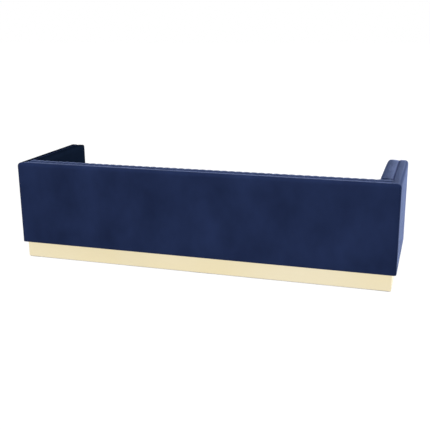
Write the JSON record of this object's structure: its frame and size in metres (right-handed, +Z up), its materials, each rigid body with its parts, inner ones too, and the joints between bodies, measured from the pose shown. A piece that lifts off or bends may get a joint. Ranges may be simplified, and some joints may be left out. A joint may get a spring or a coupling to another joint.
{
  "type": "upholstered banquette bench",
  "caption": "Long straight banquette with level velvet-covered back and arms, channelled inner back, loose seat cushions and a recessed metal-faced plinth.",
  "frame": {"origin": "floor level under the middle of the bench's plan", "axes": "+X along the length to the sitter's left, +Y to the rear face, +Z up"},
  "size_m": [2.64, 0.8, 0.704],
  "materials": {
    "velvet": "matte",
    "wadding": "matte",
    "foam": "matte",
    "timber": "matte",
    "plywood": "matte",
    "webbing": "matte",
    "dust_cloth": "matte",
    "gold_sheet": "satin",
    "zip_brass": "satin",
    "zinc_steel": "satin",
    "foot_nylon": "matte"
  },
  "bodies": {
    "bench": {"back_cover": "velvet", "wall_wadding": "wadding", "back_outer_board": "plywood", "back_top_rail": "timber", "back_bottom_rail": "timber", "back_posts": "timber", "back_pad_board": "plywood", "back_pad_foam": "foam", "back_pad_cover": "velvet", "arm_cover_left": "velvet", "arm_cover_right": "velvet", "arm_outer_boards": "plywood", "arm_frame_left": "timber", "arm_frame_right": "timber", "arm_pad_boards": "plywood", "arm_pad_foam_left": "foam", "arm_pad_foam_right": "foam", "arm_pad_cover_left": "velvet", "arm_pad_cover_right": "velvet", "seat_front_rail": "timber", "seat_rear_rail": "timber", "seat_end_rails": "timber", "seat_cross_rails": "timber", "seat_webbing": "webbing", "deck_foam": "foam", "deck_cloth": "velvet", "front_rail_padding": "foam", "front_rail_cover": "velvet", "plinth_long_boards": "plywood", "plinth_cross_boards": "plywood", "leveller_blocks": "timber", "leveller_inserts": "zinc_steel", "skirt_front": "gold_sheet", "skirt_rear": "gold_sheet", "skirt_left": "gold_sheet", "skirt_right": "gold_sheet", "dust_cover": "dust_cloth", "frame_coach_screws": "zinc_steel", "pad_screws": "zinc_steel"},
    "cushion_left": {"seat_cushion_cover_left": "velvet", "seat_cushion_core_left": "foam", "seat_cushion_zip_left": "zip_brass"},
    "cushion_middle": {"seat_cushion_cover_middle": "velvet", "seat_cushion_core_middle": "foam", "seat_cushion_zip_middle": "zip_brass"},
    "cushion_right": {"seat_cushion_cover_right": "velvet", "seat_cushion_core_right": "foam", "seat_cushion_zip_right": "zip_brass"},
    "foot_front_left": {"foot_pad_front_left": "foot_nylon"},
    "stem_front_left": {"foot_stem_front_left": "zinc_steel"},
    "foot_front_middle": {"foot_pad_front_middle": "foot_nylon"},
    "stem_front_middle": {"foot_stem_front_middle": "zinc_steel"},
    "foot_front_right": {"foot_pad_front_right": "foot_nylon"},
    "stem_front_right": {"foot_stem_front_right": "zinc_steel"},
    "foot_rear_left": {"foot_pad_rear_left": "foot_nylon"},
    "stem_rear_left": {"foot_stem_rear_left": "zinc_steel"},
    "foot_rear_middle": {"foot_pad_rear_middle": "foot_nylon"},
    "stem_rear_middle": {"foot_stem_rear_middle": "zinc_steel"},
    "foot_rear_right": {"foot_pad_rear_right": "foot_nylon"},
    "stem_rear_right": {"foot_stem_rear_right": "zinc_steel"}
  },
  "joints": [
    {"name": "cushion_left_lift", "type": "slide", "parent": "bench", "child": "cushion_left", "axis": [0, 0, 1], "range_m": [0, 0.44]},
    {"name": "cushion_middle_lift", "type": "slide", "parent": "bench", "child": "cushion_middle", "axis": [0, 0, 1], "range_m": [0, 0.44]},
    {"name": "cushion_right_lift", "type": "slide", "parent": "bench", "child": "cushion_right", "axis": [0, 0, 1], "range_m": [0, 0.44]},
    {"name": "foot_front_left_slide", "type": "slide", "parent": "bench", "child": "foot_front_left", "axis": [0, 0, -1], "range_m": [0, 0.01501]},
    {"name": "foot_front_left_turn", "type": "hinge", "parent": "foot_front_left", "child": "stem_front_left", "pos_m": [1.2375, -0.3175, 0], "axis": [0, 0, -1], "range_deg": [0, 4320]},
    {"name": "foot_front_middle_slide", "type": "slide", "parent": "bench", "child": "foot_front_middle", "axis": [0, 0, -1], "range_m": [0, 0.01501]},
    {"name": "foot_front_middle_turn", "type": "hinge", "parent": "foot_front_middle", "child": "stem_front_middle", "pos_m": [0, -0.3175, 0], "axis": [0, 0, -1], "range_deg": [0, 4320]},
    {"name": "foot_front_right_slide", "type": "slide", "parent": "bench", "child": "foot_front_right", "axis": [0, 0, -1], "range_m": [0, 0.01501]},
    {"name": "foot_front_right_turn", "type": "hinge", "parent": "foot_front_right", "child": "stem_front_right", "pos_m": [-1.2375, -0.3175, 0], "axis": [0, 0, -1], "range_deg": [0, 4320]},
    {"name": "foot_rear_left_slide", "type": "slide", "parent": "bench", "child": "foot_rear_left", "axis": [0, 0, -1], "range_m": [0, 0.01501]},
    {"name": "foot_rear_left_turn", "type": "hinge", "parent": "foot_rear_left", "child": "stem_rear_left", "pos_m": [1.2375, 0.3175, 0], "axis": [0, 0, -1], "range_deg": [0, 4320]},
    {"name": "foot_rear_middle_slide", "type": "slide", "parent": "bench", "child": "foot_rear_middle", "axis": [0, 0, -1], "range_m": [0, 0.01501]},
    {"name": "foot_rear_middle_turn", "type": "hinge", "parent": "foot_rear_middle", "child": "stem_rear_middle", "pos_m": [0, 0.3175, 0], "axis": [0, 0, -1], "range_deg": [0, 4320]},
    {"name": "foot_rear_right_slide", "type": "slide", "parent": "bench", "child": "foot_rear_right", "axis": [0, 0, -1], "range_m": [0, 0.01501]},
    {"name": "foot_rear_right_turn", "type": "hinge", "parent": "foot_rear_right", "child": "stem_rear_right", "pos_m": [-1.2375, 0.3175, 0], "axis": [0, 0, -1], "range_deg": [0, 4320]}
  ],
  "couplings": [
    {"joint": "foot_front_left_slide", "follows": "foot_front_left_turn", "m_per_rad": 0.00019894},
    {"joint": "foot_front_middle_slide", "follows": "foot_front_middle_turn", "m_per_rad": 0.00019894},
    {"joint": "foot_front_right_slide", "follows": "foot_front_right_turn", "m_per_rad": 0.00019894},
    {"joint": "foot_rear_left_slide", "follows": "foot_rear_left_turn", "m_per_rad": 0.00019894},
    {"joint": "foot_rear_middle_slide", "follows": "foot_rear_middle_turn", "m_per_rad": 0.00019894},
    {"joint": "foot_rear_right_slide", "follows": "foot_rear_right_turn", "m_per_rad": 0.00019894}
  ]
}
